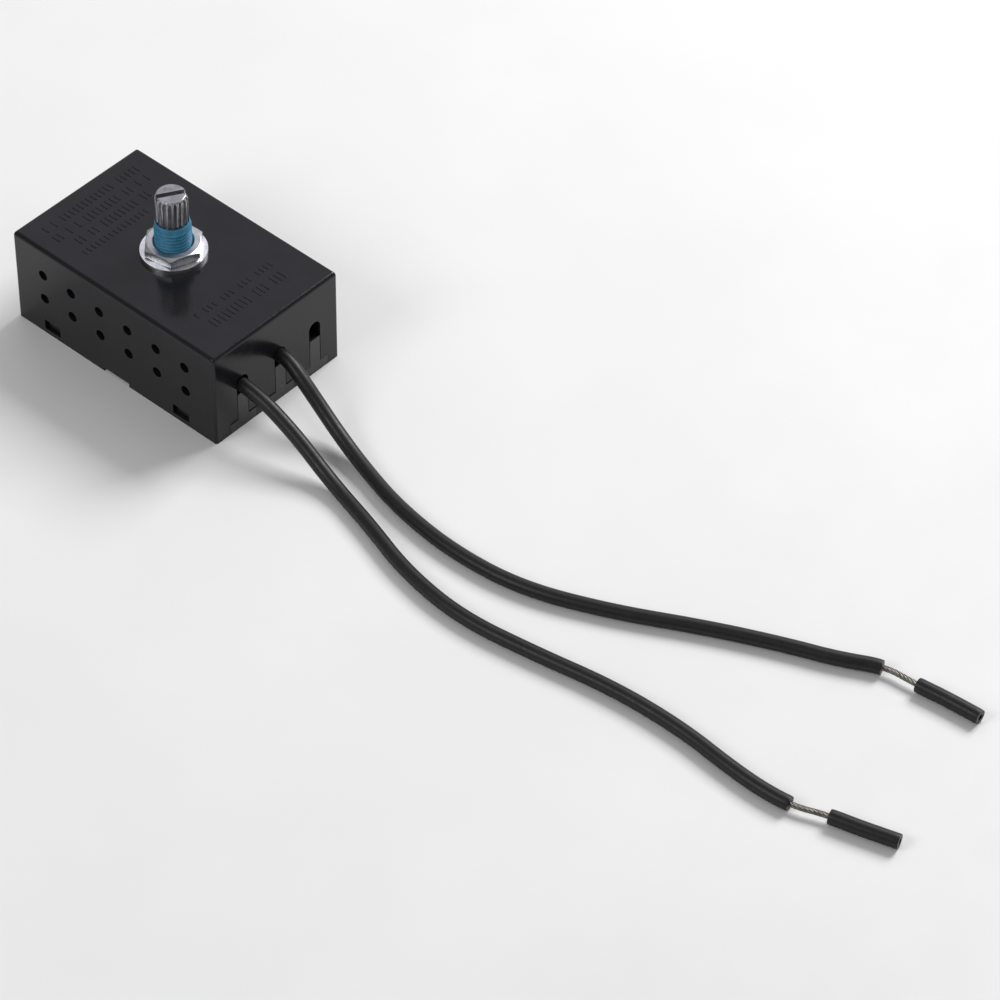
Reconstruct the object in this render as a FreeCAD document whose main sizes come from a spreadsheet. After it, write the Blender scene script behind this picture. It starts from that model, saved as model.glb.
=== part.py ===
import FreeCAD
import Part
import math
import os
import re

# Rotary lamp dimmer module: a clip-together case, a rotary control with threaded bushing and
# splined shaft, a triac board and two stranded leads.  Millimetres.  +Z runs up along the shaft,
# +X points to the lead end, and the origin is the bottom centre of the case.

V = FreeCAD.Vector
X_AXIS = V(1, 0, 0)
Y_AXIS = V(0, 1, 0)
Z_AXIS = V(0, 0, 1)

doc = FreeCAD.newDocument("rotary_dimmer")
sheet = doc.addObject("Spreadsheet::Sheet", "sizes")

# ---------------------------------------------------------------- driving dimensions
SIZES = {
    # case
    "case_length": 50.8,
    "case_width": 31.8,
    "case_height": 20.6,
    "wall": 1.6,
    "roof": 1.2,
    "edge_round": 0.8,
    "corner_round": 0.5,
    "roof_hole_radius": 3.6,
    "vent_radius": 1.05,
    "vent_pitch": 7.2,
    "vent_low": 8.6,
    "vent_high": 14.3,
    "slot_width": 2.9,
    "slot_top": 12.3,
    "slot_front_y": -8.9,
    "slot_middle_y": 0.8,
    "slot_rear_y": 9.8,
    "window_x": 16.5,
    "window_width": 4.0,
    "window_bottom": 1.0,
    "window_height": 2.2,
    "notch_width": 6.4,
    "notch_height": 0.8,
    # base plate
    "base_thickness": 1.6,
    "base_gap": 0.05,
    "tongue_top": 8.3,
    "tongue_gap": 0.15,
    "tongue_root": 0.4,
    "foot_width": 6.6,
    "foot_height": 2.2,
    "foot_gap": 0.35,
    "hook_width": 3.4,
    "hook_depth": 0.9,
    "hook_bottom": 1.2,
    "hook_height": 1.6,
    "post_radius": 1.6,
    "post_x": 20.5,
    "post_y": 11.0,
    # circuit board
    "board_length": 46.6,
    "board_width": 27.6,
    "board_thickness": 1.6,
    "board_bottom": 3.4,
    # control: plate, bushing, shaft
    "plate_size": 16.5,
    "plate_thickness": 0.8,
    "leg_width": 6.0,
    "leg_bottom": 8.6,
    "leg_foot": 2.2,
    "bushing_radius": 3.45,
    "bushing_bore_radius": 3.0,
    "bushing_length": 9.0,
    "bushing_chamfer": 0.35,
    "flange_radius": 4.5,
    "flange_thickness": 1.2,
    "shaft_radius": 2.95,
    "shaft_length": 15.0,
    "spline_radius": 3.0,
    "spline_start": 28.5,
    "run_out_radius": 2.7,
    "run_out_width": 0.6,
    "spline_depth": 0.21,
    "spline_count": 18,
    "shaft_chamfer": 0.65,
    "driver_slot_width": 0.9,
    "driver_slot_depth": 1.1,
    "driver_slot_angle": 59.0,
    "drive_end_radius": 2.0,
    "drive_end_bottom": 10.6,
    "drive_flat": 1.45,
    "running_gap": 0.02,
    "clip_radius": 4.2,
    "clip_groove_radius": 2.2,
    "clip_thickness": 0.5,
    "clip_mouth": 3.2,
    "collar_height": 0.4,
    # control: rotor, track, switch
    "rotor_radius": 6.6,
    "rotor_thickness": 1.4,
    "rotor_bottom": 14.9,
    "wafer_radius": 7.6,
    "wafer_thickness": 1.2,
    "wafer_bottom": 13.0,
    "wafer_hole_radius": 2.6,
    "track_inner": 4.9,
    "track_outer": 6.4,
    "track_thickness": 0.1,
    "track_angle": 310.0,
    "track_start": -125.0,
    "chamber_radius": 7.9,
    "chamber_wall": 0.8,
    "cup_bottom": 9.4,
    "cup_floor": 0.8,
    "cam_radius": 4.8,
    "cam_low_radius": 3.6,
    "cam_thickness": 2.0,
    "wiper_radius": 4.2,
    "wiper_hole_radius": 2.7,
    "wiper_thickness": 0.2,
    "wiper_width": 1.2,
    "wiper_reach": 6.2,
    "terminal_pitch": 3.0,
    "terminal_y": -11.2,
    "terminal_radius": 0.4,
    "terminal_head_radius": 0.9,
    "terminal_head_height": 0.3,
    "leaf_x": -2.8,
    "leaf_y": 5.3,
    "leaf_bottom": 10.8,
    "leaf_width": 1.6,
    "leaf_length": 6.3,
    "leaf_thickness": 0.25,
    "leaf_eye_radius": 0.85,
    "leaf_post_radius": 0.6,
    "leaf_post_top": 12.5,
    "fixed_x": 2.6,
    "fixed_y": 6.3,
    "fixed_radius": 0.45,
    "fixed_top": 12.4,
    "button_radius": 0.6,
    "button_height": 0.35,
    # washer and nut
    "washer_radius": 6.2,
    "washer_hole_radius": 3.65,
    "washer_thickness": 0.8,
    "nut_flats": 10.0,
    "nut_height": 2.0,
    "nut_hole_radius": 3.5,
    "nut_corner_angle": -50.0,
    "nut_edge": 0.5,
    "nut_mouth_radius": 3.85,
    "nut_mouth_depth": 0.35,
    # triac on its heat sink
    "sink_x": -20.75,
    "sink_thickness": 1.5,
    "sink_width": 24.0,
    "sink_height": 13.6,
    "wing_length": 8.5,
    "wing_thickness": 1.2,
    "screw_z": 15.0,
    "screw_radius": 1.5,
    "screw_length": 6.2,
    "screw_start": -23.4,
    "screw_hole_radius": 1.6,
    "screw_head_radius": 2.7,
    "screw_head_height": 1.8,
    "screw_slot": 0.8,
    "sink_nut_flats": 5.5,
    "sink_nut_height": 2.0,
    "triac_x": -20.0,
    "triac_thickness": 2.7,
    "triac_width": 7.8,
    "triac_bottom": 7.0,
    "triac_height": 11.0,
    "triac_pin_x": -18.6,
    "triac_pin_pitch": 2.54,
    # other parts on the board
    "film_x": -12.0,
    "film_y": 0.5,
    "film_thickness": 5.2,
    "film_width": 13.0,
    "film_height": 11.0,
    "film_pin_pitch": 10.0,
    "timing_x": 9.6,
    "timing_y": -12.15,
    "timing_width": 7.2,
    "timing_thickness": 2.5,
    "timing_height": 6.5,
    "timing_pin_pitch": 5.0,
    "leg_wire_radius": 0.3,
    "choke_x": 12.9,
    "choke_z": 9.4,
    "core_radius": 2.4,
    "core_length": 17.0,
    "core_gap": 0.02,
    "coil_radius": 3.2,
    "coil_length": 12.4,
    "coil_wire_radius": 0.55,
    "coil_pitch": 1.24,
    "coil_turns": 10,
    "cradle_y": 7.5,
    "cradle_width": 6.0,
    "cradle_thickness": 1.6,
    "cradle_height": 4.4,
    "solder_radius": 0.95,
    "solder_height": 0.8,
    # leads
    "lead_radius": 1.375,
    "conductor_radius": 0.55,
    "conductor_gap": 0.04,
    "lead_exit_z": 10.4,
    "lead_post_x": 18.4,
    "lead_post_length": 1.6,
    "lead_post_width": 2.4,
}

for row, (name, value) in enumerate(SIZES.items(), start=1):
    sheet.set("A%d" % row, name)
    sheet.set("B%d" % row, str(value))
    sheet.setAlias("B%d" % row, name)
doc.recompute()

ALIASES = re.compile(r"\b(%s)\b" % "|".join(sorted(SIZES, key=len, reverse=True)))


def bound(text):
    """Return a size expression with every alias pointing at the sheet."""
    return ALIASES.sub(r"sizes.\1", str(text))


def bind(obj, prop, text):
    obj.setExpression(prop, bound(text))


# ---------------------------------------------------------------- building blocks
def place(obj, x, y, z):
    bind(obj, "Placement.Base.x", x)
    bind(obj, "Placement.Base.y", y)
    bind(obj, "Placement.Base.z", z)
    return obj


def box(name, x, y, z, length, width, height):
    """A box with its lowest corner at x, y, z."""
    obj = doc.addObject("Part::Box", name)
    bind(obj, "Length", length)
    bind(obj, "Width", width)
    bind(obj, "Height", height)
    return place(obj, x, y, z)


def mid_box(name, x, y, z, length, width, height):
    """A box centred on x, y with its underside at z."""
    low_x = "%s - (%s) / 2" % (x, length)
    low_y = "%s - (%s) / 2" % (y, width)
    return box(name, low_x, low_y, z, length, width, height)


def rod(name, radius, height, x="0", y="0", z="0", axis=Z_AXIS):
    obj = doc.addObject("Part::Cylinder", name)
    obj.Placement = FreeCAD.Placement(V(0, 0, 0), FreeCAD.Rotation(Z_AXIS, axis))
    bind(obj, "Radius", radius)
    bind(obj, "Height", height)
    return place(obj, x, y, z)


def cone(name, low_radius, high_radius, height, z):
    obj = doc.addObject("Part::Cone", name)
    bind(obj, "Radius1", low_radius)
    bind(obj, "Radius2", high_radius)
    bind(obj, "Height", height)
    return place(obj, "0", "0", z)


def join(name, *pieces):
    obj = doc.addObject("Part::MultiFuse", name)
    obj.Shapes = list(pieces)
    obj.Refine = True
    return obj


def remove(name, base, *tools):
    """Take one or more tools away from the base."""
    tool = tools[0]
    if len(tools) > 1:
        tool = doc.addObject("Part::MultiFuse", name + "_tools")
        tool.Shapes = list(tools)
    obj = doc.addObject("Part::Cut", name)
    obj.Base = base
    obj.Tool = tool
    obj.Refine = True
    return obj


def group(name, *pieces):
    """Separate solids that share one node."""
    obj = doc.addObject("Part::Compound", name)
    obj.Links = list(pieces)
    return obj


def rounded(name, base, radius, wanted):
    """Fillet every edge of the base that the wanted test picks."""
    doc.recompute()
    obj = doc.addObject("Part::Fillet", name)
    obj.Base = base
    value = SIZES[radius]
    picked = [i for i, e in enumerate(base.Shape.Edges, start=1) if wanted(e)]
    obj.Edges = [(i, value, value) for i in picked]
    return obj


nodes = {}


def node(name, obj):
    obj.Label = name
    nodes[name] = obj
    return obj


# ---------------------------------------------------------------- housing cover
outer = mid_box("case_block", "0", "0", "0", "case_length", "case_width", "case_height")


def is_upright(edge):
    ends = [v.Point for v in edge.Vertexes]
    return abs(ends[0].z - ends[1].z) > 1.0


def is_top_edge(edge):
    return edge.BoundBox.ZMin > SIZES["case_height"] - 0.01


block = rounded("case_corners", outer, "corner_round", is_upright)
block = rounded("case_top_edges", block, "edge_round", is_top_edge)
cavity = mid_box("case_cavity", "0", "0", "-1", "case_length - 2 * wall",
                 "case_width - 2 * wall", "case_height - roof + 1")
hole = rod("roof_hole", "roof_hole_radius", "5", z="case_height - 3")
cover_tools = [cavity, hole]

for column in range(6):
    offset = "(%.1f * vent_pitch)" % (column - 2.5)
    for level in ("vent_low", "vent_high"):
        for side, start in (("front", "-case_width / 2 - 1"), ("back", "case_width / 2 - 3")):
            vent = rod("vent_%s_%s_%d" % (side, level, column), "vent_radius", "4",
                       offset, start, level, Y_AXIS)
            cover_tools.append(vent)

SLOTS = ("slot_front_y", "slot_middle_y", "slot_rear_y")
FOOT_GAPS = ("foot_gap", "foot_gap", "base_gap")       # the empty slot's foot is shut tight
for slot, foot_gap in zip(SLOTS, FOOT_GAPS):
    straight = mid_box(slot + "_gate", "case_length / 2", slot, "-1", "4 * wall", "slot_width",
                       "slot_top - slot_width / 2 + 1")
    arch = rod(slot + "_arch", "slot_width / 2", "4 * wall", "case_length / 2 - 2 * wall", slot,
               "slot_top - slot_width / 2", X_AXIS)
    foot_notch = mid_box(slot + "_foot_notch", "case_length / 2", slot, "-1", "4 * wall",
                         "foot_width + 2 * base_gap", "foot_height + %s + 1" % foot_gap)
    cover_tools += [straight, arch, foot_notch]

for side in (-1, 1):
    for end in (-1, 1):
        window = mid_box("window_%d_%d" % (side + 1, end + 1), "%d * window_x" % end,
                         "%d * case_width / 2" % side, "window_bottom", "window_width",
                         "4 * wall", "window_height")
        cover_tools.append(window)
    notch = mid_box("notch_%d" % (side + 1), "0", "%d * case_width / 2" % side, "-1",
                    "notch_width", "4 * wall", "notch_height + 1")
    cover_tools.append(notch)

node("housing_cover", remove("cover", block, *cover_tools))

# ---------------------------------------------------------------- base plate
plate_length = "case_length - 2 * wall - 2 * base_gap"
plate_width = "case_width - 2 * wall - 2 * base_gap"
base_pieces = [mid_box("base_floor", "0", "0", "0", plate_length, plate_width, "base_thickness")]
for slot in SLOTS:
    tongue_x = "case_length / 2 - wall - tongue_root"
    base_pieces.append(box(slot + "_tongue", tongue_x, slot + " - slot_width / 2 + tongue_gap",
                           "0", "wall + tongue_root", "slot_width - 2 * tongue_gap",
                           "tongue_top"))
    base_pieces.append(box(slot + "_foot", tongue_x, slot + " - foot_width / 2", "0",
                           "wall + tongue_root", "foot_width", "foot_height"))
for side in (-1, 1):
    inner_face = "%d * (case_width / 2 - wall - base_gap" % side
    for end in (-1, 1):
        tag = "%d_%d" % (side + 1, end + 1)
        base_pieces.append(mid_box("hook_arm_" + tag, "%d * window_x" % end,
                                   inner_face + " - 0.5)", "0", "hook_width", "1.0",
                                   "hook_bottom + hook_height + 0.4"))
        base_pieces.append(mid_box("hook_" + tag, "%d * window_x" % end,
                                   inner_face + " + hook_depth / 2 - 0.1)", "hook_bottom",
                                   "hook_width", "hook_depth + 0.2", "hook_height"))
for end in (-1, 1):
    for side in (-1, 1):
        base_pieces.append(rod("post_%d_%d" % (end + 1, side + 1), "post_radius", "board_bottom",
                               "%d * post_x" % end, "%d * post_y" % side, "0"))
node("base_plate", join("base", *base_pieces))

# ---------------------------------------------------------------- circuit board
board_top = "(board_bottom + board_thickness)"
board_block = mid_box("board_block", "0", "0", "board_bottom", "board_length", "board_width",
                      "board_thickness")
board_holes = []
pin_points = []


def board_hole(x, y, radius=0.45):
    """Drill the board for a pin and remember where the pin is soldered."""
    name = "pin_hole_%d" % len(board_holes)
    board_holes.append(rod(name, str(radius), "board_thickness + 2", str(x), str(y),
                           "board_bottom - 1"))
    pin_points.append((x, y))


def board_pin(name, x, y, top, radius=0.3):
    """A round wire standing in the board, ending flush with its underside."""
    board_hole(x, y)
    return rod(name, str(radius), "%s - board_bottom" % top, str(x), str(y), "board_bottom")


# ---------------------------------------------------------------- control plate and bushing
plate_under = "(case_height - roof - plate_thickness)"
control_plate = mid_box("control_plate", "0", "0", plate_under, "plate_size",
                        "plate_size + 2 * plate_thickness", "plate_thickness")
plate_pieces = [control_plate]
for side in (-1, 1):
    leg_y = "%d * (plate_size + plate_thickness) / 2" % side
    plate_pieces.append(mid_box("leg_%d" % (side + 1), "0", leg_y, "leg_bottom", "leg_width",
                                "plate_thickness", plate_under + " - leg_bottom + 0.1"))
    foot_y = "%d * (plate_size / 2 + plate_thickness - leg_foot / 2)" % side
    plate_pieces.append(mid_box("leg_foot_%d" % (side + 1), "0", foot_y, "leg_bottom",
                                "leg_width", "leg_foot", "plate_thickness"))
plate_hole = rod("plate_hole", "bushing_radius + running_gap", "5", z=plate_under + " - 2")
node("control_frame", remove("control_frame_cut", join("control_frame_join", *plate_pieces),
                             plate_hole))

bushing_top = "(case_height - roof + bushing_length)"
flange = rod("flange", "flange_radius", "flange_thickness",
             z=plate_under + " - flange_thickness")
neck = rod("neck", "bushing_radius", bushing_top + " - bushing_chamfer - " + plate_under,
           z=plate_under)
lip = cone("neck_lip", "bushing_radius", "bushing_radius - bushing_chamfer / 2",
           "bushing_chamfer", bushing_top + " - bushing_chamfer")
bushing_bore = rod("bushing_bore", "bushing_bore_radius", "20", z="case_height - 10")
node("threaded_bushing", remove("bushing", join("bushing_outer", flange, neck, lip),
                                bushing_bore))

# ---------------------------------------------------------------- control shaft
shaft_top = "(case_height - roof + shaft_length)"
collar_bottom = "(rotor_bottom + rotor_thickness)"
groove_bottom = "(rotor_bottom + rotor_thickness + collar_height)"
groove_height = "(clip_thickness + 0.1)"
bearing_bottom = "(%s + %s)" % (groove_bottom, groove_height)
shaft_pieces = [
    rod("drive_end", "drive_end_radius", collar_bottom + " - drive_end_bottom + 0.1",
        z="drive_end_bottom"),
    rod("collar", "shaft_radius", "collar_height", z=collar_bottom),
    rod("clip_groove", "clip_groove_radius", groove_height + " + 0.2", z=groove_bottom + " - 0.1"),
    rod("bearing", "shaft_radius", "spline_start - run_out_width - %s" % bearing_bottom,
        z=bearing_bottom),
    rod("run_out", "run_out_radius", "run_out_width + 0.2",
        z="spline_start - run_out_width - 0.1"),
    rod("spline_blank", "spline_radius", shaft_top + " - shaft_chamfer - spline_start",
        z="spline_start"),
    cone("shaft_tip", "spline_radius", "spline_radius - shaft_chamfer", "shaft_chamfer",
         shaft_top + " - shaft_chamfer"),
]
driver_slot = mid_box("driver_slot", "0", "0", "0", "10", "driver_slot_width",
                      "driver_slot_depth + 1")
driver_slot.Placement = FreeCAD.Placement()
driver_slot.setExpression("Placement.Base.x", None)
driver_slot.setExpression("Placement.Base.y", None)
slot_turn = FreeCAD.Rotation(Z_AXIS, SIZES["driver_slot_angle"])
driver_slot.Placement = FreeCAD.Placement(
    slot_turn.multVec(V(-5, -SIZES["driver_slot_width"] / 2, 0)), slot_turn)
bind(driver_slot, "Placement.Base.z", shaft_top + " - driver_slot_depth")
drive_flat = box("drive_flat", "drive_flat", "-5", "drive_end_bottom - 1", "5", "10",
                 collar_bottom + " - drive_end_bottom + 1")
shaft_tools = [driver_slot, drive_flat]
for tooth in range(int(SIZES["spline_count"])):
    turn = 360.0 * (tooth + 0.5) / SIZES["spline_count"]
    angle = math.radians(turn)
    reach = SIZES["spline_radius"] - SIZES["spline_depth"]
    groove = doc.addObject("Part::Box", "flute_%02d" % tooth)
    bind(groove, "Length", "3 * spline_depth")
    bind(groove, "Width", "3 * spline_depth")
    bind(groove, "Height", "12")
    groove.Placement = FreeCAD.Placement(
        V(reach * math.cos(angle), reach * math.sin(angle), 0),
        FreeCAD.Rotation(Z_AXIS, turn - 45.0))
    bind(groove, "Placement.Base.z", "spline_start - 0.3")
    shaft_tools.append(groove)
node("control_shaft", remove("shaft", join("shaft_blank", *shaft_pieces), *shaft_tools))

clip_ring = rod("clip_ring", "clip_radius", "clip_thickness", z=groove_bottom + " + 0.05")
clip_hole = rod("clip_hole", "clip_groove_radius + running_gap", "4", z=groove_bottom + " - 1")
clip_mouth = box("clip_mouth", "0", "-clip_mouth / 2", groove_bottom + " - 1", "8", "clip_mouth",
                 "4")
node("retaining_clip", remove("clip", clip_ring, clip_hole, clip_mouth))

# ---------------------------------------------------------------- rotor, wiper, track, wafer


def drive_hole(name):
    """A hole with one flat that fits the drive end of the shaft."""
    round_hole = rod(name + "_round", "drive_end_radius + running_gap", "8",
                     z="drive_end_bottom - 1")
    flat = box(name + "_flat", "drive_flat + running_gap", "-5", "drive_end_bottom - 2", "5",
               "10", "10")
    return remove(name, round_hole, flat)


rotor_disc = rod("rotor_disc", "rotor_radius", "rotor_thickness", z="rotor_bottom")
node("rotor", remove("rotor_cut", rotor_disc, drive_hole("rotor_drive")))

wiper_bottom = "(rotor_bottom - wiper_thickness)"
wiper_ring = rod("wiper_ring", "wiper_radius", "wiper_thickness", z=wiper_bottom)
wiper_arm = box("wiper_arm", "-wiper_reach", "-wiper_width / 2", wiper_bottom,
                "wiper_reach - wiper_hole_radius - 0.3", "wiper_width", "wiper_thickness")
track_top = "(wafer_bottom + wafer_thickness + track_thickness)"
wiper_tip = box("wiper_tip", "-wiper_reach + 0.1", "-wiper_width / 2 + 0.1", track_top, "0.8",
                "wiper_width - 0.2", "rotor_bottom - " + track_top)
wiper_hole = rod("wiper_hole", "wiper_hole_radius", "3", z="rotor_bottom - 2")
node("wiper", remove("wiper_cut", join("wiper_join", wiper_ring, wiper_arm, wiper_tip),
                     wiper_hole))

wafer_top = "(wafer_bottom + wafer_thickness)"
track_ring = rod("track_ring", "track_outer", "track_thickness", z=wafer_top)
bind(track_ring, "Angle", "track_angle")
track_ring.Placement = FreeCAD.Placement(V(0, 0, 0), FreeCAD.Rotation(Z_AXIS, SIZES["track_start"]))
place(track_ring, "0", "0", wafer_top)
track_hole = rod("track_hole", "track_inner", "2", z=wafer_top + " - 1")
node("resistive_track", remove("track", track_ring, track_hole))

wafer_disc = rod("wafer_disc", "wafer_radius", "wafer_thickness", z="wafer_bottom")
wafer_tail = mid_box("wafer_tail", "0", "-9.3", "wafer_bottom", "9.0", "6.0", "wafer_thickness")
wafer_hole = rod("wafer_hole", "wafer_hole_radius", "4", z="wafer_bottom - 1")
wafer_tools = [wafer_hole]
terminals = []
for number in range(3):
    terminal_x = "%d * terminal_pitch" % (number - 1)
    board_hole((number - 1) * SIZES["terminal_pitch"], SIZES["terminal_y"],
               SIZES["terminal_radius"] + 0.1)
    wafer_tools.append(rod("terminal_hole_%d" % number, "terminal_radius + running_gap", "4",
                           terminal_x, "terminal_y", "wafer_bottom - 1"))
    stem = rod("terminal_stem_%d" % number, "terminal_radius",
               wafer_top + " + terminal_head_height - board_bottom", terminal_x, "terminal_y",
               "board_bottom")
    head = rod("terminal_head_%d" % number, "terminal_head_radius", "terminal_head_height",
               terminal_x, "terminal_y", wafer_top)
    terminals.append(join("terminal_%d" % number, stem, head))
leg_notch = mid_box("wafer_leg_notch", "0", "-(plate_size + plate_thickness) / 2",
                    "wafer_bottom - 1", "leg_width + 0.1", "plate_thickness + 0.1", "4")
node("track_wafer", remove("wafer", join("wafer_join", wafer_disc, wafer_tail),
                           *wafer_tools, leg_notch))
node("control_terminals", group("terminals", *terminals))

chamber_ring = rod("chamber_ring", "chamber_radius", plate_under + " - " + wafer_top,
                   z=wafer_top)
chamber_bore = rod("chamber_bore", "chamber_radius - chamber_wall", "10", z=wafer_top + " - 1")
chamber_gate = mid_box("chamber_gate", "0", "-8", wafer_top + " - 1", "9.2", "3.0", "1.6")
node("rotor_chamber", remove("chamber", chamber_ring, chamber_bore, chamber_gate))

cup_ring = rod("cup_ring", "chamber_radius", "wafer_bottom - cup_bottom", z="cup_bottom")
cup_bore = rod("cup_bore", "chamber_radius - chamber_wall", "10", z="cup_bottom + cup_floor")
post_gap = SIZES["running_gap"]
cup_post_hole = rod("cup_leaf_hole", "leaf_post_radius + running_gap", "2", "leaf_x", "leaf_y",
                    "cup_bottom - 1")
cup_fixed_hole = rod("cup_fixed_hole", "fixed_radius + running_gap", "4", "fixed_x", "fixed_y",
                     "cup_bottom - 1")
node("switch_cup", remove("cup", cup_ring, cup_bore, cup_post_hole, cup_fixed_hole))

cam_disc = rod("cam_disc", "cam_radius", "cam_thickness", z="drive_end_bottom")
cam_relief = box("cam_relief", "cam_low_radius", "-5", "drive_end_bottom - 1", "5", "10", "5")
node("switch_cam", remove("cam", cam_disc, cam_relief, drive_hole("cam_drive")))

board_hole(SIZES["leaf_x"], SIZES["leaf_y"], SIZES["leaf_post_radius"] + post_gap)
board_hole(SIZES["fixed_x"], SIZES["fixed_y"], SIZES["fixed_radius"] + post_gap)
node("leaf_post", rod("leaf_post", "leaf_post_radius", "leaf_post_top - board_bottom", "leaf_x",
                      "leaf_y", "board_bottom"))
leaf_eye = rod("leaf_eye", "leaf_eye_radius", "leaf_width", "leaf_x", "leaf_y", "leaf_bottom")
leaf_blade = box("leaf_blade", "leaf_x", "leaf_y - button_height", "leaf_bottom", "leaf_length",
                 "leaf_thickness", "leaf_width")
leaf_button = rod("leaf_button", "button_radius", "button_height", "fixed_x", "leaf_y - 0.2",
                  "leaf_bottom + leaf_width / 2", Y_AXIS)
leaf_hole = rod("leaf_hole", "leaf_post_radius + running_gap", "6", "leaf_x", "leaf_y",
                "leaf_bottom - 2")
node("switch_leaf", remove("leaf", join("leaf_join", leaf_eye, leaf_blade, leaf_button),
                           leaf_hole))
node("fixed_contact", rod("fixed_post", "fixed_radius", "fixed_top - board_bottom", "fixed_x",
                          "fixed_y", "board_bottom"))

# ---------------------------------------------------------------- washer and nut
washer_disc = rod("washer_disc", "washer_radius", "washer_thickness", z="case_height")
washer_hole = rod("washer_hole", "washer_hole_radius", "4", z="case_height - 1")
node("flat_washer", remove("washer", washer_disc, washer_hole))

nut_bottom = "(case_height + washer_thickness)"
hexagon = doc.addObject("Part::Prism", "nut_hexagon")
hexagon.Polygon = 6
bind(hexagon, "Circumradius", "nut_flats / 2 / cos(30)")
bind(hexagon, "Height", "nut_height")
hexagon.Placement = FreeCAD.Placement(V(0, 0, 0),
                                      FreeCAD.Rotation(Z_AXIS, SIZES["nut_corner_angle"]))
bind(hexagon, "Placement.Base.z", nut_bottom)
crown_radius = "(nut_flats / 2 - 0.1)"
crown = join("nut_crown",
             cone("nut_crown_low", crown_radius, crown_radius + " + 2 * nut_edge", "nut_edge",
                  nut_bottom),
             rod("nut_crown_mid", crown_radius + " + 2 * nut_edge", "nut_height - 2 * nut_edge",
                 z=nut_bottom + " + nut_edge"),
             cone("nut_crown_high", crown_radius + " + 2 * nut_edge", crown_radius, "nut_edge",
                  nut_bottom + " + nut_height - nut_edge"))
nut_blank = doc.addObject("Part::MultiCommon", "nut_blank")
nut_blank.Shapes = [hexagon, crown]
nut_hole = rod("nut_hole", "nut_hole_radius", "6", z="case_height - 1")
nut_mouth = cone("nut_mouth", "nut_hole_radius", "nut_mouth_radius", "nut_mouth_depth",
                 nut_bottom + " + nut_height - nut_mouth_depth")
node("hex_nut", remove("nut", nut_blank, nut_hole, nut_mouth))

# ---------------------------------------------------------------- triac on its heat sink
sink_back = mid_box("sink_back", "sink_x", "0", board_top, "sink_thickness", "sink_width",
                    "sink_height")
wings = [box("sink_wing_%d" % (side + 1), "sink_x - sink_thickness / 2",
             "%d * sink_width / 2 - %d * wing_thickness" % (side, (side + 1) // 2), board_top,
             "wing_length", "wing_thickness", "sink_height") for side in (-1, 1)]
sink_hole = rod("sink_hole", "screw_hole_radius", "6", "sink_x - 3", "0", "screw_z", X_AXIS)
node("heat_sink", remove("sink", join("sink_join", sink_back, *wings), sink_hole))
triac_block = box("triac_block", "triac_x", "-triac_width / 2", "triac_bottom",
                  "triac_thickness", "triac_width", "triac_height")
triac_hole = rod("triac_hole", "screw_hole_radius", "6", "triac_x - 1", "0", "screw_z", X_AXIS)
node("triac", remove("triac_cut", triac_block, triac_hole))
node("triac_pins", group("triac_pin_set", *[
    board_pin("triac_pin_%d" % i, SIZES["triac_pin_x"], SIZES["triac_pin_pitch"] * (i - 1),
              "triac_bottom") for i in range(3)]))
head_x = "(triac_x + triac_thickness)"
screw_head = rod("screw_head", "screw_head_radius", "screw_head_height", head_x, "0", "screw_z",
                 X_AXIS)
screw_shank = rod("screw_shank", "screw_radius", "screw_length", "screw_start", "0", "screw_z",
                  X_AXIS)
screw_drive = box("screw_drive", head_x + " + 1", "-3", "screw_z - screw_slot / 2", "2", "6",
                  "screw_slot")
node("sink_screw", remove("sink_screw_cut", join("sink_screw_join", screw_head, screw_shank),
                          screw_drive))
sink_nut_hex = doc.addObject("Part::Prism", "sink_nut_hexagon")
sink_nut_hex.Polygon = 6
bind(sink_nut_hex, "Circumradius", "sink_nut_flats / 2 / cos(30)")
bind(sink_nut_hex, "Height", "sink_nut_height")
sink_nut_hex.Placement = FreeCAD.Placement(V(0, 0, 0), FreeCAD.Rotation(Z_AXIS, X_AXIS))
place(sink_nut_hex, "sink_x - sink_thickness / 2 - sink_nut_height", "0", "screw_z")
sink_nut_bore = rod("sink_nut_bore", "screw_radius + running_gap", "6", "screw_start - 2.6", "0",
                    "screw_z", X_AXIS)
node("sink_nut", remove("sink_nut_cut", sink_nut_hex, sink_nut_bore))

# ---------------------------------------------------------------- capacitors, diac, resistor
node("film_capacitor", mid_box("film_block", "film_x", "film_y", board_top, "film_thickness",
                               "film_width", "film_height"))
node("film_capacitor_pins", group("film_pin_set", *[
    board_pin("film_pin_%d" % (side + 1), SIZES["film_x"],
              SIZES["film_y"] + side * SIZES["film_pin_pitch"] / 2, board_top)
    for side in (-1, 1)]))
node("timing_capacitor", mid_box("timing_block", "timing_x", "timing_y", board_top,
                                 "timing_width", "timing_thickness", "timing_height"))
node("timing_capacitor_pins", group("timing_pin_set", *[
    board_pin("timing_pin_%d" % (side + 1), SIZES["timing_x"] + side * SIZES["timing_pin_pitch"] / 2,
              SIZES["timing_y"], board_top) for side in (-1, 1)]))


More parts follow.
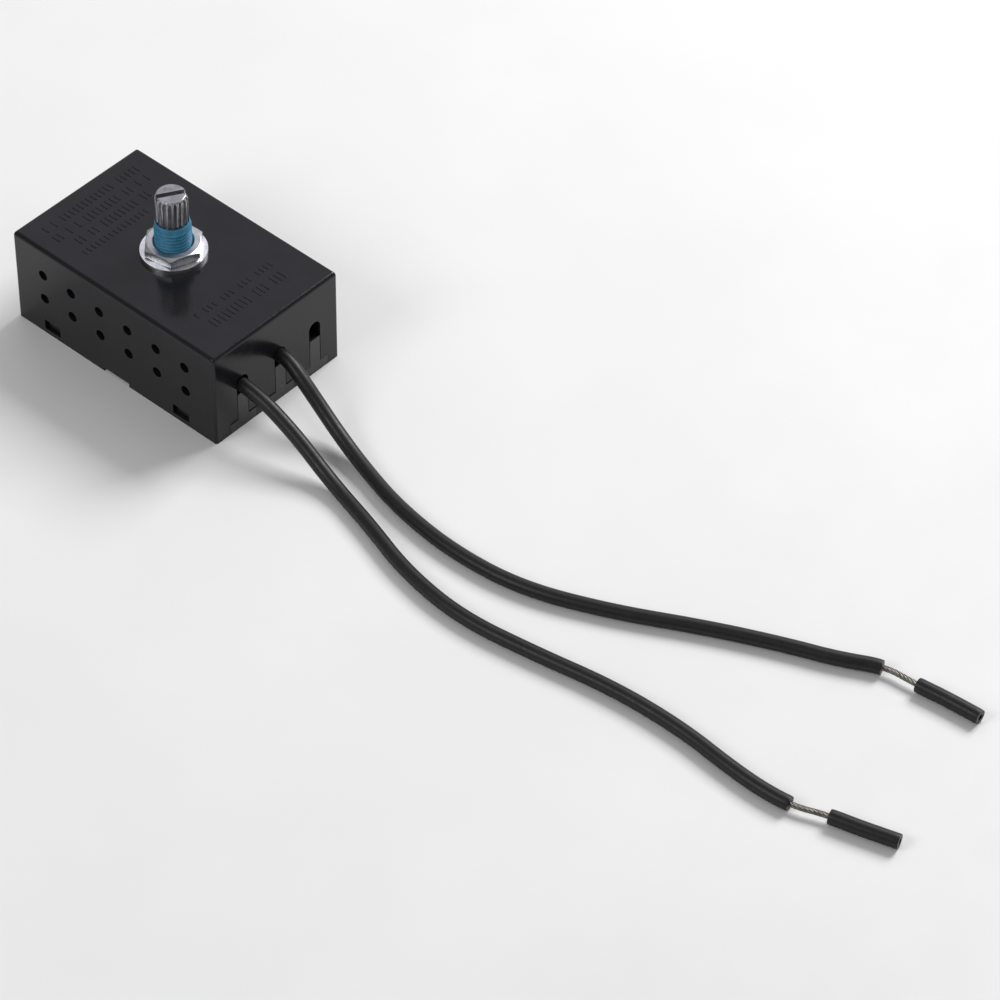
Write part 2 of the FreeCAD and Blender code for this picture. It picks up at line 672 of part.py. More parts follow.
def axial_part(tag, x, y, z, body_radius, body_length, span):
    """An axial component along X with its two legs bent down into the board."""
    body = rod(tag + "_body", str(body_radius), str(body_length), str(x - body_length / 2),
               str(y), str(z), X_AXIS)
    legs = []
    for side in (-1, 1):
        leg_x = x + side * span / 2
        board_hole(leg_x, y)
        drop = rod("%s_leg_%d" % (tag, side + 1), "leg_wire_radius", "%s - board_bottom" % z,
                   str(leg_x), str(y), "board_bottom")
        inner = x + side * body_length / 2
        run = rod("%s_run_%d" % (tag, side + 1), "leg_wire_radius", str(abs(leg_x - inner)),
                  str(min(leg_x, inner)), str(y), str(z), X_AXIS)
        elbow = doc.addObject("Part::Sphere", "%s_elbow_%d" % (tag, side + 1))
        bind(elbow, "Radius", "leg_wire_radius")
        place(elbow, str(leg_x), str(y), str(z))
        legs.append(join("%s_wire_%d" % (tag, side + 1), drop, run, elbow))
    node(tag, body)
    node(tag + "_legs", group(tag + "_leg_set", *legs))


axial_part("diac", x=-7.5, y=11.6, z=6.3, body_radius=0.95, body_length=4.0, span=7.6)
axial_part("resistor", x=5.5, y=11.6, z=6.5, body_radius=1.2, body_length=6.3, span=10.2)

# ---------------------------------------------------------------- choke
node("choke_core", rod("choke_core", "core_radius", "core_length", "choke_x", "-core_length / 2",
                       "choke_z", Y_AXIS))


def coil_point(radius, y):
    """A point of the winding's half section, at that radius and place along the core."""
    return V(SIZES["choke_x"] + radius, y, SIZES["choke_z"])


coil_half = SIZES["coil_length"] / 2
coil_bore = SIZES["core_radius"] + SIZES["core_gap"]
sleeve, wire = SIZES["coil_radius"], SIZES["coil_wire_radius"]
outline = []
corner = coil_point(sleeve, -coil_half)
for number in range(SIZES["coil_turns"]):
    middle = (number - (SIZES["coil_turns"] - 1) / 2) * SIZES["coil_pitch"]
    start, end = coil_point(sleeve, middle - wire), coil_point(sleeve, middle + wire)
    outline.append(Part.makeLine(corner, start))
    outline.append(Part.Arc(start, coil_point(sleeve + wire, middle), end).toShape())
    corner = end
for radius, y in ((sleeve, coil_half), (coil_bore, coil_half), (coil_bore, -coil_half),
                  (sleeve, -coil_half)):
    outline.append(Part.makeLine(corner, coil_point(radius, y)))
    corner = coil_point(radius, y)
coil_section = doc.addObject("Part::Feature", "coil_section")
coil_section.Shape = Part.Face(Part.Wire(outline))
coil = doc.addObject("Part::Revolution", "coil")
coil.Source = coil_section
coil.Axis = Y_AXIS
coil.Base = coil_point(0, 0)
coil.Angle = 360
coil.Solid = True
node("choke_winding", coil)
cradles = []
for side in (-1, 1):
    cradle_y = "%d * cradle_y" % side
    cradle = mid_box("cradle_block_%d" % (side + 1), "choke_x", cradle_y, board_top,
                     "cradle_width", "cradle_thickness", "cradle_height")
    seat = rod("cradle_seat_%d" % (side + 1), "core_radius + core_gap", "4", "choke_x",
               cradle_y + " - 2", "choke_z", Y_AXIS)
    cradles.append(remove("cradle_%d" % (side + 1), cradle, seat))
node("choke_cradles", group("cradle_set", *cradles))

# ---------------------------------------------------------------- lead posts
LEADS = {
    "front": [
        (18.0, -8.9, 10.4), (28.0, -8.9, 10.5), (38.0, -8.9, 6.3), (48.3, -10.0, 1.4),
        (60.0, -13.1, 1.4), (72.6, -17.2, 1.4), (86.9, -18.9, 1.4), (101.8, -16.7, 1.4),
        (117.4, -13.6, 1.4), (131.8, -12.9, 1.4), (143.0, -13.95, 1.4), (150.4, -14.2, 1.4),
        (156.9, -13.5, 1.4), (161.6, -11.4, 1.4), (168.6, -9.6, 1.4), (175.5, -7.4, 1.4)],
    "rear": [
        (18.0, 0.8, 10.4), (22.7, 0.8, 10.45), (27.5, 0.85, 10.9), (31.0, 0.8, 8.6),
        (34.2, 0.6, 4.9), (39.2, -0.1, 1.4), (48.2, -2.45, 1.4), (60.8, -6.5, 1.4),
        (75.0, -8.1, 1.4), (90.0, -6.7, 1.4), (105.0, -0.5, 1.4), (120.0, 7.9, 1.4),
        (132.4, 13.85, 1.4), (141.2, 17.4, 1.4), (148.4, 21.5, 1.4), (154.4, 21.8, 1.4),
        (161.6, 22.8, 1.4), (168.5, 23.25, 1.4)],
}
STRIPPED_END = 2.6      # bare wire between post and insulation
SLUG_LENGTH = 13.4      # cut insulation left on the strands, with the route's last bit
BARE_LENGTH = 7.2       # twisted strands showing before the slug
STRANDS_IN_SLUG = 6.0   # how far the strands reach into the slug
ROUTE_TAIL = 0.6        # last bit of the route, with nothing on it

for tag, route in LEADS.items():
    post_y = route[0][1]
    post = mid_box("post_block_" + tag, "lead_post_x", str(post_y), board_top,
                   "lead_post_length", "lead_post_width", "lead_exit_z + 1.6 - " + board_top)
    eye = rod("post_eye_" + tag, "conductor_radius + conductor_gap", "4",
              "lead_post_x - lead_post_length - 0.2", str(post_y), "lead_exit_z", X_AXIS)
    board_hole(SIZES["lead_post_x"], post_y)
    spike = rod("post_spike_" + tag, "0.4", "board_thickness + 0.1", "lead_post_x", str(post_y),
                "board_bottom")
    node("lead_post_" + tag, remove("post_" + tag, join("post_join_" + tag, post, spike), eye))

# ---------------------------------------------------------------- solder and board
domes = []
for number, (x, y) in enumerate(pin_points):
    dome = doc.addObject("Part::Cone", "solder_%02d" % number)
    dome.Radius1 = 0.35
    bind(dome, "Radius2", "solder_radius")
    bind(dome, "Height", "solder_height")
    place(dome, str(x), str(y), "board_bottom - solder_height")
    domes.append(dome)
node("solder_joints", group("solder_set", *domes))
node("circuit_board", remove("board", board_block, *board_holes))


# ---------------------------------------------------------------- leads
def route_wire(points):
    """Straight runs joined by tangent arcs, as one wire, with the arc radii."""
    pts = [V(*p) for p in points]
    edges = []
    radii = []
    cursor = pts[0]
    for i in range(1, len(pts) - 1):
        back = (pts[i - 1] - pts[i])
        ahead = (pts[i + 1] - pts[i])
        shorter = min(back.Length, ahead.Length)
        back.normalize()
        ahead.normalize()
        turn = math.pi - back.getAngle(ahead)
        trim = 0.45 * shorter
        radius = trim / math.tan(turn / 2)
        radii.append(radius)
        first = pts[i] + back * trim
        last = pts[i] + ahead * trim
        inward = back + ahead
        inward.normalize()
        centre = pts[i] + inward * (radius / math.cos(turn / 2))
        middle = centre - inward * radius
        edges.append(Part.LineSegment(cursor, first).toShape())
        edges.append(Part.Arc(first, middle, last).toShape())
        cursor = last
    edges.append(Part.LineSegment(cursor, pts[-1]).toShape())
    return Part.Wire(edges), radii


def piece_of(wire, low, high):
    """The stretch of a wire between two lengths along it."""
    kept = []
    done = 0.0
    for edge in wire.Edges:
        span = edge.Length
        a = max(low - done, 0.0)
        b = min(high - done, span)
        if b - a > 1e-6:
            first = edge.getParameterByLength(a)
            last = edge.getParameterByLength(b)
            kept.append(edge.Curve.toShape(first, last))
        done += span
    return Part.Wire(kept)


def tube(wire, radius):
    """A round solid swept along the wire."""
    first = wire.Edges[0]
    at = first.valueAt(first.FirstParameter)
    along = first.tangentAt(first.FirstParameter)
    ring = Part.Wire(Part.Circle(at, along, radius).toShape())
    return wire.makePipeShell([ring], True, True, 2)


def plain_node(name, shape):
    obj = doc.addObject("Part::Feature", name)
    obj.Shape = shape
    return node(name, obj)


def report(name, shape, wire, section):
    expected = section * wire.Length
    print("%s: length %.1f, volume %.1f, section x length %.1f, ratio %.4f"
          % (name, wire.Length, shape.Volume, expected, shape.Volume / expected))


wire_radius = SIZES["conductor_radius"]
bore_radius = wire_radius + SIZES["conductor_gap"]
skin_radius = SIZES["lead_radius"]
for tag, route in LEADS.items():
    path, radii = route_wire(route)
    total = path.Length
    print("%s lead: length %.1f, arc radii %s" % (tag, total,
                                                  " ".join("%.0f" % r for r in radii)))
    skin_end = total - SLUG_LENGTH - BARE_LENGTH
    stretches = {
        "lead_insulation_" + tag: (STRIPPED_END, skin_end),
        "cut_slug_" + tag: (total - SLUG_LENGTH, total - ROUTE_TAIL),
    }
    strand_path = piece_of(path, 0.0, total - SLUG_LENGTH + STRANDS_IN_SLUG)
    conductor = tube(strand_path, wire_radius)
    plain_node("lead_conductor_" + tag, conductor)
    report("conductor", conductor, strand_path, math.pi * wire_radius ** 2)
    for name, (low, high) in stretches.items():
        part_path = piece_of(path, low, high)
        skin = tube(part_path, skin_radius).cut(tube(part_path, bore_radius))
        plain_node(name, skin.Solids[0])
        report(name, skin, part_path, math.pi * (skin_radius ** 2 - bore_radius ** 2))

# ---------------------------------------------------------------- check and write
doc.recompute()
problems = []
for obj in doc.Objects:
    if "Invalid" in obj.State or "Error" in obj.State:
        problems.append("%s state %s" % (obj.Name, obj.State))
for name, obj in nodes.items():
    if obj.Shape.isNull() or not obj.Shape.isValid():
        problems.append("%s shape is not valid" % name)
if problems:
    raise RuntimeError("; ".join(problems))

os.makedirs("parts", exist_ok=True)
for name, obj in nodes.items():
    obj.Shape.exportStep(os.path.join("parts", name + ".step"))
    print("%-26s solids %2d volume %9.2f" % (name, len(obj.Shape.Solids), obj.Shape.Volume))
print("nodes", len(nodes))
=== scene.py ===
import math
import random

import bmesh
import bpy
from mathutils import Matrix, Vector


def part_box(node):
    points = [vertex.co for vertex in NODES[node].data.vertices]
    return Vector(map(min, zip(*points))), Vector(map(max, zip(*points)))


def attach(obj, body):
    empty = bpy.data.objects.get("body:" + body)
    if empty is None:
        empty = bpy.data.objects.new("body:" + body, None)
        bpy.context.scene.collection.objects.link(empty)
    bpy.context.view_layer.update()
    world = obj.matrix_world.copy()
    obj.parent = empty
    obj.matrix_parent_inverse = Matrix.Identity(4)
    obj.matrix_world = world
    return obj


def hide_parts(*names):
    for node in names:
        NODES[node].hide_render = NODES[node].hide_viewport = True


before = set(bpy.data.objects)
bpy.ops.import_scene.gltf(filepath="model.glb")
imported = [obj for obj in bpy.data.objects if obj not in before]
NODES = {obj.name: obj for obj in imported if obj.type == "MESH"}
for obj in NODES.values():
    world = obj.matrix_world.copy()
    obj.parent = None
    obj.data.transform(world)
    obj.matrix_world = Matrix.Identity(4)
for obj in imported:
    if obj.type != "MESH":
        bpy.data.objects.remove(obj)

# Rotary lamp dimmer module.  Metres, in the frame of the CAD model: +Z up along the shaft, +X
# towards the end the leads leave, origin at the bottom centre of the case.

MM = 0.001
TURN = 2 * math.pi
scene = bpy.context.scene
random.seed(11)
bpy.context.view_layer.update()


# ---------------------------------------------------------------- materials
class Look:
    """A node material around one Principled shader."""

    def __init__(self, name):
        self.material = bpy.data.materials.new(name)
        self.material.use_nodes = True
        self.nodes = self.material.node_tree.nodes
        self.links = self.material.node_tree.links
        self.shader = self.nodes["Principled BSDF"]
        self.place = self.nodes.new("ShaderNodeTexCoord").outputs["Object"]
        self.height = None

    def set(self, **values):
        for key, value in values.items():
            self.shader.inputs[key.replace("_", " ")].default_value = value
        return self

    def noise(self, per_mm, detail=4.0, stretch=(1, 1, 1), roughness=0.55):
        """Fractal noise with so many features in a millimetre, from 0 to 1."""
        mapping = self.nodes.new("ShaderNodeMapping")
        mapping.inputs["Scale"].default_value = [s / MM * per_mm for s in stretch]
        self.links.new(self.place, mapping.inputs["Vector"])
        noise = self.nodes.new("ShaderNodeTexNoise")
        noise.inputs["Scale"].default_value = 1.0
        noise.inputs["Detail"].default_value = detail
        noise.inputs["Roughness"].default_value = roughness
        self.links.new(mapping.outputs["Vector"], noise.inputs["Vector"])
        return noise.outputs["Fac"]

    def spread(self, value, low, high, start=0.3, end=0.7):
        """Map a texture's start to end onto low to high."""
        node = self.nodes.new("ShaderNodeMapRange")
        node.inputs["From Min"].default_value = start
        node.inputs["From Max"].default_value = end
        node.inputs["To Min"].default_value = low
        node.inputs["To Max"].default_value = high
        self.links.new(value, node.inputs["Value"])
        return node.outputs["Result"]

    def colours(self, value, stops):
        """Colour the surface by a texture, from (position, colour) stops."""
        ramp = self.nodes.new("ShaderNodeValToRGB")
        elements = ramp.color_ramp.elements
        while len(elements) < len(stops):
            elements.new(0.5)
        for element, (position, colour) in zip(elements, stops):
            element.position = position
            element.color = (*colour, 1.0)
        self.links.new(value, ramp.inputs["Fac"])
        self.links.new(ramp.outputs["Color"], self.shader.inputs["Base Color"])
        return self

    def rough(self, value, low, high):
        self.links.new(self.spread(value, low, high), self.shader.inputs["Roughness"])
        return self

    def bump(self, value, depth_mm, strength=1.0):
        """Stack a bump of that depth on those already there."""
        node = self.nodes.new("ShaderNodeBump")
        node.inputs["Strength"].default_value = strength
        node.inputs["Distance"].default_value = depth_mm * MM
        self.links.new(value, node.inputs["Height"])
        if self.height:
            self.links.new(self.height, node.inputs["Normal"])
        self.height = node.outputs["Normal"]
        self.links.new(self.height, self.shader.inputs["Normal"])
        return self


def plastic(name, dark, light, rough=(0.2, 0.3), grain=0.004, per_mm=6.0, coat=0.0):
    """Moulded plastic: faint mottling, a fine grain and slow waves in the surface."""
    look = Look(name)
    look.colours(look.noise(0.35, 5.0), [(0.3, dark), (0.7, light)])
    look.rough(look.noise(1.3, 6.0), *rough)
    look.bump(look.noise(0.12, 2.0), 0.06, 0.25)
    look.bump(look.noise(per_mm, 3.0), grain)
    return look.set(Coat_Weight=coat).material


def metal(name, dark, light, rough=(0.2, 0.4), stretch=(1, 1, 1), scratch=0.004, per_mm=5.0):
    """Bare or plated metal: stains, drawn lines and small dents."""
    look = Look(name)
    look.colours(look.noise(0.8, 6.0), [(0.28, dark), (0.66, light)])
    look.rough(look.noise(2.2, 6.0, stretch), *rough)
    look.bump(look.noise(per_mm, 4.0, stretch), scratch)
    look.bump(look.noise(0.9, 2.0), 0.02, 0.3)
    return look.set(Metallic=1.0).material


def case_plastic():
    """Glossy black plastic with a slightly violet cast, moulding flow and fine scuffs."""
    look = Look("case_black_plastic")
    look.colours(look.noise(0.22, 5.0), [(0.25, (0.0080, 0.0074, 0.0092)),
                                         (0.75, (0.0125, 0.0116, 0.0142))])
    look.rough(look.noise(0.9, 7.0), 0.13, 0.2)
    look.bump(look.noise(0.09, 2.0), 0.05, 0.22)
    look.bump(look.noise(3.5, 3.0), 0.0018)
    return look.set(IOR=1.36).material


def lead_vinyl():
    """Black vinyl insulation with a soft sheen, flecks and drawing lines."""
    look = Look("lead_black_vinyl")
    look.colours(look.noise(1.4, 6.0), [(0.3, (0.006, 0.0058, 0.006)),
                                        (0.72, (0.014, 0.0132, 0.0134))])
    look.rough(look.noise(1.8, 5.0), 0.36, 0.5)
    look.bump(look.noise(2.4, 5.0), 0.01)
    return look.set(IOR=1.42).material


def bushing_blue():
    """Blue-green passivated bushing with a mottled tone."""
    look = Look("bushing_teal")
    look.colours(look.noise(0.9, 5.0), [(0.28, (0.026, 0.172, 0.300)),
                                        (0.52, (0.038, 0.225, 0.375)),
                                        (0.75, (0.058, 0.290, 0.465))])
    look.rough(look.noise(2.5, 5.0), 0.45, 0.6)
    look.bump(look.noise(7.0, 3.0), 0.004)
    return look.set(Metallic=0.1).material


BLACK_CASE = case_plastic()
BLACK_BASE = plastic("base_black_plastic", (0.012, 0.012, 0.013), (0.02, 0.019, 0.02),
                     (0.26, 0.36))
VINYL = lead_vinyl()
TEAL = bushing_blue()
WASHER_METAL = metal("washer_zinc", (0.70, 0.71, 0.74), (0.93, 0.93, 0.95), (0.24, 0.42))
NUT_METAL = metal("nut_zinc", (0.42, 0.44, 0.47), (0.62, 0.63, 0.66), (0.30, 0.46))
SHAFT_METAL = metal("shaft_bright", (0.26, 0.26, 0.28), (0.45, 0.45, 0.47), (0.26, 0.40),
                    (1, 1, 0.12))
STEEL = metal("pressed_steel", (0.42, 0.43, 0.44), (0.62, 0.62, 0.63), (0.25, 0.45))
TINNED = metal("tinned_copper", (0.13, 0.12, 0.105), (0.28, 0.265, 0.24), (0.3, 0.5))
BRASS = metal("brass", (0.55, 0.38, 0.14), (0.75, 0.55, 0.24), (0.22, 0.4))
BRONZE = metal("spring_bronze", (0.5, 0.3, 0.12), (0.68, 0.44, 0.2), (0.25, 0.4))
ALUMINIUM = metal("sink_aluminium", (0.62, 0.62, 0.63), (0.78, 0.78, 0.79), (0.3, 0.5),
                  (1, 0.1, 1))
COPPER = metal("enamelled_copper", (0.42, 0.13, 0.05), (0.62, 0.24, 0.09), (0.15, 0.3),
               (1, 8, 1))
SOLDER = metal("solder", (0.5, 0.5, 0.5), (0.7, 0.7, 0.7), (0.18, 0.34))
FERRITE = plastic("ferrite", (0.02, 0.02, 0.022), (0.045, 0.045, 0.048), (0.4, 0.6), 0.012)
BOARD = plastic("board_laminate", (0.28, 0.16, 0.05), (0.4, 0.25, 0.09), (0.4, 0.6), 0.01)
PHENOLIC = plastic("phenolic", (0.14, 0.06, 0.025), (0.22, 0.1, 0.04), (0.35, 0.5), 0.01)
NATURAL = plastic("natural_nylon", (0.5, 0.46, 0.38), (0.64, 0.6, 0.52), (0.35, 0.5))
MOULDED = plastic("dark_moulding", (0.018, 0.018, 0.02), (0.035, 0.035, 0.038), (0.35, 0.5))
EPOXY = plastic("package_epoxy", (0.014, 0.014, 0.015), (0.026, 0.026, 0.028), (0.45, 0.6), 0.01)
CARBON = plastic("carbon_track", (0.006, 0.006, 0.006), (0.014, 0.014, 0.014), (0.5, 0.65), 0.01)
RED_DIP = plastic("dipped_red", (0.24, 0.02, 0.012), (0.36, 0.035, 0.02), (0.15, 0.25))
YELLOW_BOX = plastic("boxed_yellow", (0.45, 0.26, 0.03), (0.56, 0.35, 0.05), (0.3, 0.4))
TAN_LACQUER = plastic("tan_lacquer", (0.42, 0.28, 0.14), (0.55, 0.4, 0.22), (0.2, 0.32))
BLUE_GLASS = plastic("diac_glass", (0.03, 0.08, 0.22), (0.05, 0.13, 0.32), (0.05, 0.12), 0.001)

FINISHES = {
    "housing_cover": BLACK_CASE, "base_plate": BLACK_BASE, "circuit_board": BOARD,
    "control_frame": STEEL, "threaded_bushing": TEAL, "control_shaft": SHAFT_METAL,
    "retaining_clip": STEEL, "rotor": NATURAL, "wiper": BRONZE, "resistive_track": CARBON,
    "track_wafer": PHENOLIC, "control_terminals": TINNED, "rotor_chamber": MOULDED,
    "switch_cup": MOULDED, "switch_cam": NATURAL, "leaf_post": BRASS, "switch_leaf": BRONZE,
    "fixed_contact": BRASS, "flat_washer": WASHER_METAL, "hex_nut": NUT_METAL,
    "heat_sink": ALUMINIUM, "triac": EPOXY, "triac_pins": TINNED, "sink_screw": STEEL,
    "sink_nut": STEEL, "film_capacitor": RED_DIP, "film_capacitor_pins": TINNED,
    "timing_capacitor": YELLOW_BOX, "timing_capacitor_pins": TINNED, "diac": BLUE_GLASS,
    "diac_legs": TINNED, "resistor": TAN_LACQUER, "resistor_legs": TINNED,
    "choke_core": FERRITE, "choke_winding": COPPER, "choke_cradles": MOULDED,
    "lead_post_front": BRASS, "lead_post_rear": BRASS, "solder_joints": SOLDER,
    "lead_conductor_front": TINNED, "lead_conductor_rear": TINNED,
    "lead_insulation_front": VINYL, "lead_insulation_rear": VINYL,
    "cut_slug_front": VINYL, "cut_slug_rear": VINYL,
}
for name, finish in FINISHES.items():
    mesh = NODES[name].data
    mesh.materials.clear()
    mesh.materials.append(finish)


# ---------------------------------------------------------------- mesh helpers
def piece(name, mesh, finish, body, smooth_degrees=35.0):
    """A mesh that rides on a body and takes a material slot's finish."""
    obj = bpy.data.objects.new(name, mesh)
    scene.collection.objects.link(obj)
    mesh.materials.clear()
    mesh.materials.append(finish)
    for polygon in mesh.polygons:
        polygon.use_smooth = True
    mesh.set_sharp_from_angle(angle=math.radians(smooth_degrees))
    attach(obj, body)
    return obj


def grid_mesh(name, rings):
    """Skin a list of closed rings of points, with a flat cap on each end."""
    count = len(rings[0])
    points = [p for ring in rings for p in ring]
    faces = []
    for i in range(len(rings) - 1):
        for j in range(count):
            k = (j + 1) % count
            faces.append((i * count + j, i * count + k, (i + 1) * count + k,
                          (i + 1) * count + j))
    faces.append(tuple(reversed(range(count))))
    last = (len(rings) - 1) * count
    faces.append(tuple(last + j for j in range(count)))
    mesh = bpy.data.meshes.new(name)
    mesh.from_pydata(points, [], faces)
    mesh.validate()
    return mesh


def looped_mesh(name, rings):
    """Skin rings that come back to the first one, such as a tube with a bore."""
    count = len(rings[0])
    points = [p for ring in rings for p in ring]
    faces = []
    for i in range(len(rings)):
        n = (i + 1) % len(rings)
        for j in range(count):
            k = (j + 1) % count
            faces.append((i * count + j, i * count + k, n * count + k, n * count + j))
    mesh = bpy.data.meshes.new(name)
    mesh.from_pydata(points, [], faces)
    mesh.validate()
    return mesh


def ring_at(radius, z, count):
    """One flat ring.  The radius is a number or a function of the angle."""
    points = []
    for j in range(count):
        angle = TURN * j / count
        r = radius(angle) if callable(radius) else radius
        points.append((r * math.cos(angle), r * math.sin(angle), z))
    return points


# ---------------------------------------------------------------- threaded bushing
def ramp(value, start, end):
    """0 below start, 1 above end, smooth between."""
    t = min(max((value - start) / (end - start), 0.0), 1.0)
    return t * t * (3 - 2 * t)


bushing_low, bushing_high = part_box("threaded_bushing")
shaft_low, shaft_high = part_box("control_shaft")
cover_low, cover_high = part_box("housing_cover")
FLANGE_RADIUS = bushing_high.x
NECK_RADIUS = 3.45 * MM
BORE_RADIUS = 3.0 * MM
PITCH = 0.75 * MM
THREAD_DEPTH = 0.32 * MM
STEPS_PER_PITCH = 10
LIP_HEIGHT = 1.2 * MM           # the smooth taper above the thread
BUSHING_SIDES = 72
FLANGE_TOP = bushing_low.z + 1.2 * MM


def bushing_mesh():
    """The bushing with a rolled right-hand thread from the case's top to its lip."""
    count = BUSHING_SIDES
    thread_start = cover_high.z + 0.2 * MM
    thread_end = bushing_high.z - LIP_HEIGHT
    rings = [ring_at(BORE_RADIUS, bushing_low.z, count),
             ring_at(FLANGE_RADIUS, bushing_low.z, count),
             ring_at(FLANGE_RADIUS, FLANGE_TOP, count),
             ring_at(NECK_RADIUS, FLANGE_TOP, count)]
    steps = int((thread_end - thread_start) / PITCH * STEPS_PER_PITCH)
    for i in range(steps + 1):
        z = thread_start + (thread_end - thread_start) * i / steps
        fade = min(ramp(z, thread_start, thread_start + PITCH),
                   1 - 0.5 * ramp(z, thread_end - 0.6 * PITCH, thread_end))

        def radius(angle, z=z, fade=fade):
            phase = (z / PITCH - angle / TURN) % 1.0
            valley = ramp(1 - abs(2 * phase - 1), 0.25, 0.95)
            return NECK_RADIUS - THREAD_DEPTH * valley * fade

        rings.append(ring_at(radius, z, count))
    rings += [ring_at(NECK_RADIUS - 0.12 * MM, bushing_high.z - 0.9 * MM, count),
              ring_at(NECK_RADIUS - 0.24 * MM, bushing_high.z - 0.4 * MM, count),
              ring_at(NECK_RADIUS - 0.3 * MM, bushing_high.z - 0.08 * MM, count),
              ring_at(NECK_RADIUS - 0.35 * MM, bushing_high.z, count),
              ring_at(BORE_RADIUS + 0.06 * MM, bushing_high.z, count),
              ring_at(BORE_RADIUS, bushing_high.z - 0.06 * MM, count)]
    return looped_mesh("threaded_bushing_detail", rings)


bushing = piece("bushing_with_thread", bushing_mesh(), TEAL, "case", 50)
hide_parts("threaded_bushing")


# ---------------------------------------------------------------- control shaft
SPLINE_TEETH = 18
SPLINE_RADIUS = 3.0 * MM
SPLINE_DEPTH = 0.36 * MM
BEARING_RADIUS = 2.95 * MM
SPLINE_START = 28.0 * MM
POINTS_PER_TOOTH = 16
TAIL_RADIUS = 2.0 * MM          # the driving end below the collar
GROOVE_RADIUS = 2.2 * MM        # the clip's groove
COLLAR_BOTTOM = 5.7 * MM        # heights above the shaft's lower end
GROOVE_BOTTOM = 6.1 * MM
GROOVE_TOP = 6.7 * MM
DRIVE_FLAT_X = 1.45 * MM
DRIVE_FLAT_TOP = 5.7 * MM
DRIVE_FLAT_CUT = 7.7 * MM       # the cut's height, which runs past the shaft's lower end
TIP_CHAMFER = 0.65 * MM
DRIVER_SLOT_ANGLE = math.radians(59.0)
DRIVER_SLOT_WIDTH = 1.05 * MM
DRIVER_SLOT_DEPTH = 1.4 * MM


def shaft_mesh():
    """The shaft with rolled splines, a chamfered tip and turned lower end."""
    count = SPLINE_TEETH * POINTS_PER_TOOTH

    def splined(depth, shrink=0.0):
        def radius(angle):
            phase = (angle / TURN * SPLINE_TEETH) % 1.0
            valley = ramp(1 - abs(2 * phase - 1), 0.18, 0.82)
            return SPLINE_RADIUS - shrink - depth * valley
        return radius

    top = shaft_high.z
    low = shaft_low.z
    profile = [
        (TAIL_RADIUS, low), (TAIL_RADIUS, low + COLLAR_BOTTOM),
        (BEARING_RADIUS, low + COLLAR_BOTTOM), (BEARING_RADIUS, low + GROOVE_BOTTOM),
        (GROOVE_RADIUS, low + GROOVE_BOTTOM), (GROOVE_RADIUS, low + GROOVE_TOP),
        (BEARING_RADIUS, low + GROOVE_TOP),
        (BEARING_RADIUS, SPLINE_START - 0.3 * MM),
        (splined(0.3 * SPLINE_DEPTH, 0.03 * MM), SPLINE_START),
        (splined(SPLINE_DEPTH), SPLINE_START + 0.3 * MM),
        (splined(SPLINE_DEPTH), top - TIP_CHAMFER - 0.1 * MM),
        (splined(0.85 * SPLINE_DEPTH, 0.03 * MM), top - TIP_CHAMFER),
        (splined(0.55 * SPLINE_DEPTH, 0.12 * MM), top - 0.4 * MM),
        (splined(0.15 * SPLINE_DEPTH, 0.24 * MM), top - 0.18 * MM),
        (SPLINE_RADIUS - 0.34 * MM, top - 0.05 * MM),
        (SPLINE_RADIUS - 0.42 * MM, top),
    ]
    rings = [ring_at(radius, z, count) for radius, z in profile]
    return grid_mesh("control_shaft_detail", rings)


def cut(obj, cutter_mesh):
    """Take a closed mesh away from the object for good."""
    cutter = bpy.data.objects.new("cutter", cutter_mesh)
    scene.collection.objects.link(cutter)
    boolean = obj.modifiers.new("cut", "BOOLEAN")
    boolean.operation = "DIFFERENCE"
    boolean.solver = "EXACT"
    boolean.object = cutter
    graph = bpy.context.evaluated_depsgraph_get()
    result = bpy.data.meshes.new_from_object(obj.evaluated_get(graph))
    obj.modifiers.remove(boolean)
    obj.data = result
    bpy.data.objects.remove(cutter)


def block_mesh(name, centre, size, turn=0.0, bevel=0.0, segments=2):
    """A box turned about Z, with rounded edges if a bevel is given."""
    shape = bmesh.new()
    bmesh.ops.create_cube(shape, size=1.0)
    bmesh.ops.scale(shape, vec=size, verts=shape.verts)
    if bevel:
        bmesh.ops.bevel(shape, geom=shape.edges[:], offset=bevel, segments=segments,
                        profile=0.5, affect="EDGES")
    bmesh.ops.rotate(shape, cent=(0, 0, 0), matrix=Matrix.Rotation(turn, 3, "Z"),
                     verts=shape.verts)
    bmesh.ops.translate(shape, vec=centre, verts=shape.verts)
    mesh = bpy.data.meshes.new(name)
    shape.to_mesh(mesh)
    shape.free()
    return mesh


shaft = piece("splined_shaft", shaft_mesh(), SHAFT_METAL, "control", 28)
cut(shaft, block_mesh("driver_slot", (0, 0, shaft_high.z + 1 * MM - DRIVER_SLOT_DEPTH / 2),
                      (12 * MM, DRIVER_SLOT_WIDTH, DRIVER_SLOT_DEPTH + 2 * MM),
                      DRIVER_SLOT_ANGLE))
CUTTER = 10 * MM                # wider than the shaft it cuts
cut(shaft, block_mesh("drive_flat",
                      (DRIVE_FLAT_X + CUTTER / 2, 0,
                       shaft_low.z + DRIVE_FLAT_TOP - DRIVE_FLAT_CUT / 2),
                      (CUTTER, CUTTER, DRIVE_FLAT_CUT)))
shaft.data.set_sharp_from_angle(angle=math.radians(28))
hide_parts("control_shaft")


# ---------------------------------------------------------------- small edge rounds on CAD nodes
def soften(name, width_mm, degrees=40.0, segments=2):
    """Round a CAD node's sharp edges with a bevel modifier."""
    modifier = NODES[name].modifiers.new("edge_round", "BEVEL")
    modifier.width = width_mm * MM
    modifier.segments = segments
    modifier.limit_method = "ANGLE"
    modifier.angle_limit = math.radians(degrees)
    modifier.harden_normals = False
    modifier.use_clamp_overlap = True


for name in ("flat_washer", "hex_nut"):
    soften(name, 0.06)

